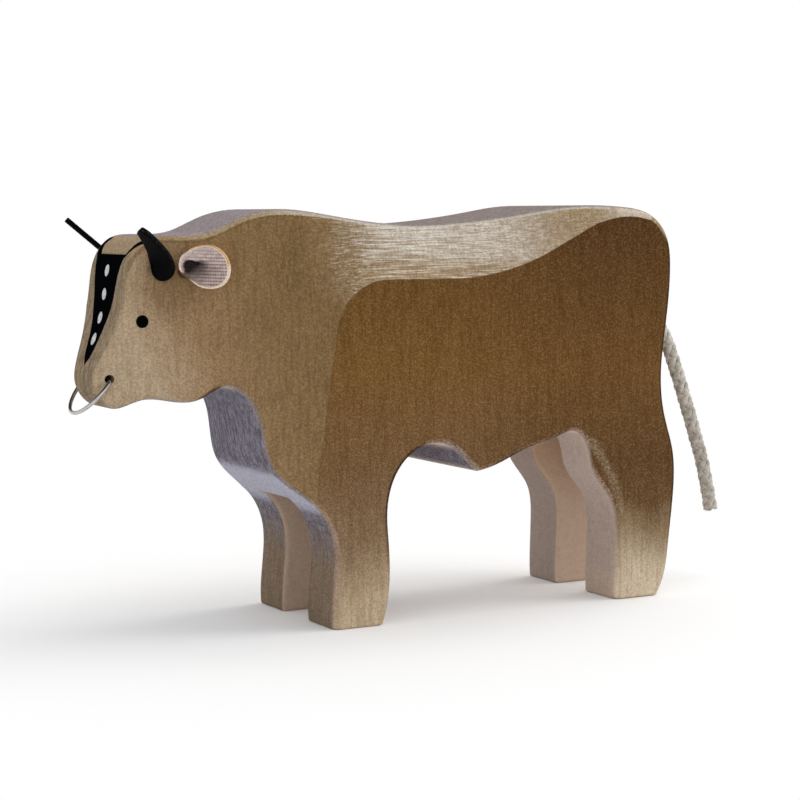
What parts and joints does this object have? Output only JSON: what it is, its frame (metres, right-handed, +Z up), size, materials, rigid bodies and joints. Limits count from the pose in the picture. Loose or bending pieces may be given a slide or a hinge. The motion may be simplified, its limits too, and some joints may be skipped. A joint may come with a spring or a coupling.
{
  "type": "bull figurine",
  "caption": "standing bull figurine carved from one thick board, with leather horns and ears, a swinging wire nose ring and a cotton cord tail",
  "frame": {"origin": "on the floor, under the middle of the figure's length and width, the tail cord left out", "axes": "+Z up, the nose points along -X, the figure's left side is toward -Y"},
  "size_m": [0.1502, 0.0403, 0.0813],
  "materials": {
    "stained_wood": "satin, sprayed brown stain fading to bare pale wood at the feet and back",
    "black_leather": "matte black",
    "natural_leather": "natural vegetable tan, matte",
    "ring_wire": "bright drawn wire",
    "cotton_cord": "unbleached braided cotton"
  },
  "bodies": {
    "bull": {"body": "stained_wood", "left_horn": "black_leather", "right_horn": "black_leather", "left_ear": "natural_leather", "right_ear": "natural_leather", "tail": "cotton_cord"},
    "ring": {"nose_ring": "ring_wire"}
  },
  "joints": [
    {"name": "ring_swing", "type": "hinge", "parent": "bull", "child": "ring", "pos_m": [-0.05802, 0, 0.04888], "axis": [0, 1, 0], "range_deg": [-45, 100]}
  ]
}
